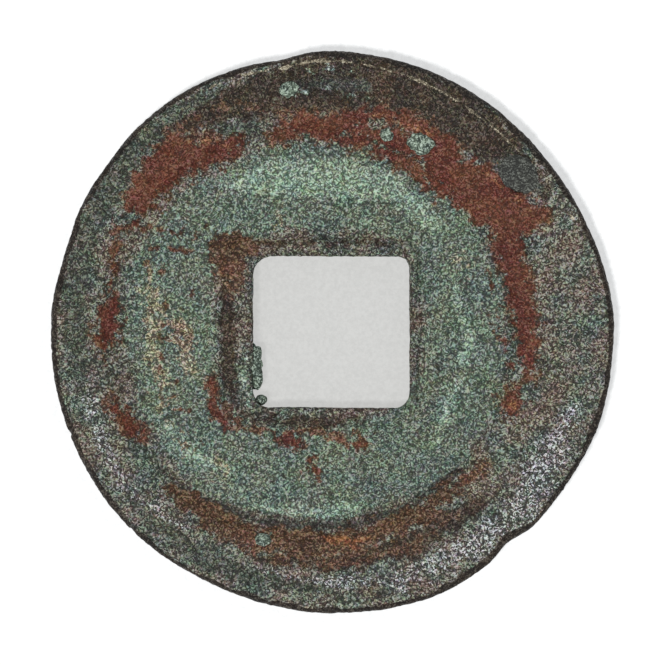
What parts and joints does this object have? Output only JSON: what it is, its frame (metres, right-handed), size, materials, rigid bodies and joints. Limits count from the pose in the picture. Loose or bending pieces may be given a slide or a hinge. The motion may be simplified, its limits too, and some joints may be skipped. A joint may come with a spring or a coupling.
{
  "type": "cash coin",
  "caption": "Round cast bronze cash coin with a square hole, its plain reverse up: broad rim, sunken field, raised border round the hole, and mineral crusts from burial.",
  "frame": {"origin": "under the middle of the coin, on the plane it lies on with its obverse down", "axes": "+Z through the coin's thickness and out of the plain reverse, +Y to the top of the coin as it is read, +X to the right of the reverse"},
  "size_m": [0.0251, 0.0251, 0.0016],
  "materials": {
    "bronze": "buried leaded bronze: matt grey-green patina with red-brown and rust-coloured areas, gritty and pitted",
    "malachite_crust": "pale green crumbly mineral crust",
    "slate_crust": "dark slate-grey smooth corrosion flake"
  },
  "bodies": {
    "root": {"bronze_casting": "bronze", "hole_wall_crust": "malachite_crust", "hole_corner_nodule": "malachite_crust", "band_nodule_left": "malachite_crust", "band_nodule_right": "malachite_crust", "step_nodule_low": "malachite_crust", "top_rim_nodule": "malachite_crust", "rim_flake": "slate_crust"}
  },
  "joints": []
}
